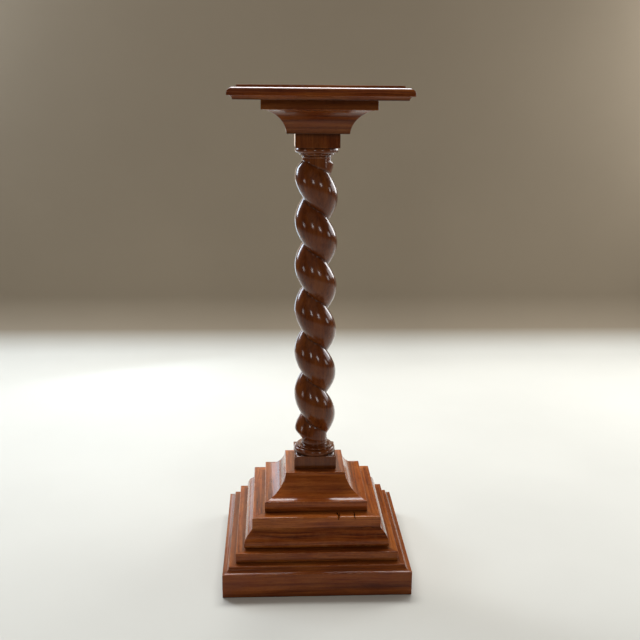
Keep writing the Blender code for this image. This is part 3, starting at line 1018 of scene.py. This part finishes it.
# Tiers from the floor up: name, profile, half width of what stands on it, softness and seed
TIERS_BELOW = (
    ("plinth", plinth_profile, "step", ARRIS_SOFTNESS, 11),
    ("step_board", step_board_profile, "nosing", ARRIS_SOFTNESS, 12),
    ("ogee_tier", ogee_tier_profile, "cove_slab", WORN_SOFTNESS, 13),
    ("cove_tier", cove_tier_profile, "shaft", ARRIS_SOFTNESS * 2, 14),
)
SHAFT_SEED = 15
TIERS_ABOVE = (
    ("cap_block", cap_block_profile, ARRIS_SOFTNESS, 16),
    ("top_board", top_board_profile, COLLAR_SOFTNESS, 17),
)

half = half_widths()
pieces = {}
base = 0.0
for name, profile_of, above, softness, seed in TIERS_BELOW:
    profile = profile_of(base, half)
    inset = profile[-1][0] - half[above] + HIDDEN_INSET
    pieces[name] = mitred_tier(name, profile, inset, half[above], softness, seed)
    base = profile[-1][1] + JOINT_GAP
pieces["twist_shaft"] = twist_shaft("twist_shaft", base, half["shaft"], SHAFT_SEED)
base += shaft_height() + JOINT_GAP
for name, profile_of, softness, seed in TIERS_ABOVE:
    profile = profile_of(base, half)
    panel_from = profile[-2][1] + FIELD_RISE / 2 if name == "top_board" else None
    pieces[name] = mitred_tier(name, profile, UPPER_INSET, 0.0, softness, seed, panel_from)
    base = profile[-1][1] + JOINT_GAP

ogee_ledge = PLINTH_FACE_HEIGHT + PLINTH_CAVETTO_HEIGHT + STEP_BOARD_THICKNESS + 2 * JOINT_GAP
ogee_ledge += OGEE_FOOT_HEIGHT + OGEE_ROUND_HEIGHT + OGEE_HOLLOW_HEIGHT + FASCIA_HEIGHT
damage(pieces["ogee_tier"], half, ogee_ledge)

for node, piece in pieces.items():
    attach(piece, "root")
    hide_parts(node)

# Floor that sweeps up into a backdrop
FLOOR_COLOUR = (0.575, 0.56, 0.51)
WALL_COLOUR = (0.26, 0.21, 0.15)
WALL_TONE_RISE = 0.07
STAGE_STOPS = ((0.02, FLOOR_COLOUR), (0.95, WALL_COLOUR))
STAGE_PATCH_SCALE = 1.6
STAGE_PATCH_DETAIL = 4.0
STAGE_PATCH_STOPS = ((0.35, 0.95), (0.65, 1.0))
STAGE_ROUGHNESS = 0.6
STAGE_SHEEN = 0.15
SWEEP_REACH = 9.0
SWEEP_BREAK = -3.0
SWEEP_START = 1.66
SWEEP_RADIUS = 0.20
SWEEP_STEPS = 16
BACKDROP_TOP = 1.55


def sweep_material():
    """Plain stage paint, pale on the floor and darker up the wall, a little uneven."""
    material = bpy.data.materials.new("stage_paint")
    material.use_nodes = True
    tree = material.node_tree
    shader = tree.nodes["Principled BSDF"]
    place = tree.nodes.new("ShaderNodeTexCoord").outputs["Object"]
    texture = tree.nodes.new("ShaderNodeTexNoise")
    texture.inputs["Scale"].default_value = STAGE_PATCH_SCALE
    texture.inputs["Detail"].default_value = STAGE_PATCH_DETAIL
    link(tree, place, texture.inputs["Vector"])
    axes = tree.nodes.new("ShaderNodeSeparateXYZ")
    link(tree, place, axes.inputs[0])
    rise = maths(tree, "DIVIDE", axes.outputs["Z"], WALL_TONE_RISE)
    colour = ramp(tree, rise, STAGE_STOPS)
    patchy = ramp(tree, texture.outputs["Fac"], STAGE_PATCH_STOPS)
    link(tree, mixed(tree, 1.0, colour, patchy, "MULTIPLY"), shader.inputs["Base Color"])
    shader.inputs["Roughness"].default_value = STAGE_ROUGHNESS
    shader.inputs["Specular IOR Level"].default_value = STAGE_SHEEN
    return material


def sweep(name):
    """Floor, curve and wall in one smooth sheet."""
    line = [(-SWEEP_REACH, 0.0), (SWEEP_BREAK, 0.0), (SWEEP_START, 0.0)]
    for i in range(1, SWEEP_STEPS + 1):
        angle = math.radians(90 * i / SWEEP_STEPS)
        back = SWEEP_START + SWEEP_RADIUS * math.sin(angle)
        line.append((back, SWEEP_RADIUS * (1 - math.cos(angle))))
    line.append((SWEEP_START + SWEEP_RADIUS, BACKDROP_TOP))
    corners = [(x, y, z) for y, z in line for x in (-SWEEP_REACH, SWEEP_REACH)]
    faces = [(2 * i, 2 * i + 1, 2 * i + 3, 2 * i + 2) for i in range(len(line) - 1)]
    mesh = bpy.data.meshes.new(name)
    mesh.from_pydata(corners, [], faces)
    mesh.materials.append(sweep_material())
    mesh.shade_smooth()
    obj = bpy.data.objects.new(name, mesh)
    bpy.context.scene.collection.objects.link(obj)


sweep("stage_sweep")

# Soft lights: azimuth (0 behind, 90 at the right), rise, distance, size, power and colour
LIGHT_AIM = Vector((0, 0, 0.6))
WHITE = (1, 1, 1)
DAYLIGHT = (0.95, 0.98, 1.0)
LIGHTS = {
    "overhead": (0, 68, 3.0, (2.4, 2.4), 18, WHITE),
    "high_back": (-12, 56, 3.4, (3.4, 1.1), 166, DAYLIGHT),
    "left_back_window": (-48, 21, 2.6, (0.75, 1.00), 30, (0.74, 0.86, 1.0)),
    "right_back_window": (46, 14, 2.5, (1.15, 1.00), 29, DAYLIGHT),
    "right_side_window": (72, 14, 3.0, (1.30, 0.90), 12, DAYLIGHT),
    "far_left_window": (-114, 10, 3.4, (0.60, 0.70), 7, DAYLIGHT),
    "far_right_window": (103, 7, 3.4, (0.60, 0.70), 8, DAYLIGHT),
    "front_left_window": (-168, 22, 3.5, (0.45, 0.75), 11, DAYLIGHT),
    "front_right_window": (151, 19, 3.5, (0.55, 0.75), 12, DAYLIGHT),
    "room_front": (180, 52, 3.6, (5.0, 3.0), 5, (1.0, 0.93, 0.86)),
    "back_panel": (-7.7, 6.9, 1.66, (0.95, 0.48), 1.3, (1.0, 0.86, 0.72)),
    "low_left_panel": (-22.8, -7.5, 1.7, (0.60, 0.50), 2.0, (0.66, 0.84, 1.0)),
}
LIGHTS_WITHOUT_REFLECTION = ("overhead",)
AMBIENT_COLOUR = (0.082, 0.062, 0.042, 1)


def soft_light(name, azimuth, rise, distance, size, power, colour):
    """Rectangular soft light that shines on the shaft and isn't seen itself."""
    turn, lift = math.radians(azimuth), math.radians(rise)
    across, back = math.sin(turn) * math.cos(lift), math.cos(turn) * math.cos(lift)
    toward = Vector((across, back, math.sin(lift)))
    data = bpy.data.lights.new(name, "AREA")
    data.shape = "RECTANGLE"
    data.size = size[0]
    data.size_y = size[1]
    data.energy = power
    data.color = colour
    light = bpy.data.objects.new(name, data)
    light.location = LIGHT_AIM + toward * distance
    light.rotation_euler = (-toward).to_track_quat("-Z", "Y").to_euler()
    light.visible_camera = False
    bpy.context.scene.collection.objects.link(light)
    return light


for name, settings in LIGHTS.items():
    light = soft_light(name, *settings)
    light.visible_glossy = name not in LIGHTS_WITHOUT_REFLECTION

world = bpy.data.worlds.new("studio")
world.use_nodes = True
world.node_tree.nodes["Background"].inputs["Color"].default_value = AMBIENT_COLOUR
bpy.context.scene.world = world
bpy.context.scene.view_settings.view_transform = "Standard"

# Camera at the photograph's viewpoint
CAMERA_PLACE = (-0.0939, -2.01856, 1.08324)
CAMERA_YAW = -0.0516
CAMERA_PITCH = 0.2505
CAMERA_ROLL = 0.0095
FOCAL_PIXELS = 935.18
FRAME_PIXELS = 640
SENSOR = 36.0

ahead = Vector((-math.sin(CAMERA_YAW), math.cos(CAMERA_YAW), 0))
level_right = Vector((math.cos(CAMERA_YAW), math.sin(CAMERA_YAW), 0))
look = ahead * math.cos(CAMERA_PITCH) - UP * math.sin(CAMERA_PITCH)
level_up = UP * math.cos(CAMERA_PITCH) + ahead * math.sin(CAMERA_PITCH)
right = level_right * math.cos(CAMERA_ROLL) + level_up * math.sin(CAMERA_ROLL)
up = level_up * math.cos(CAMERA_ROLL) - level_right * math.sin(CAMERA_ROLL)
data = bpy.data.cameras.new("camera")
data.sensor_width = SENSOR
data.lens = FOCAL_PIXELS / FRAME_PIXELS * SENSOR
camera = bpy.data.objects.new("camera", data)
turned = Matrix((right, up, -look)).transposed().to_4x4()
camera.matrix_world = Matrix.Translation(CAMERA_PLACE) @ turned
bpy.context.scene.collection.objects.link(camera)
bpy.context.scene.camera = camera
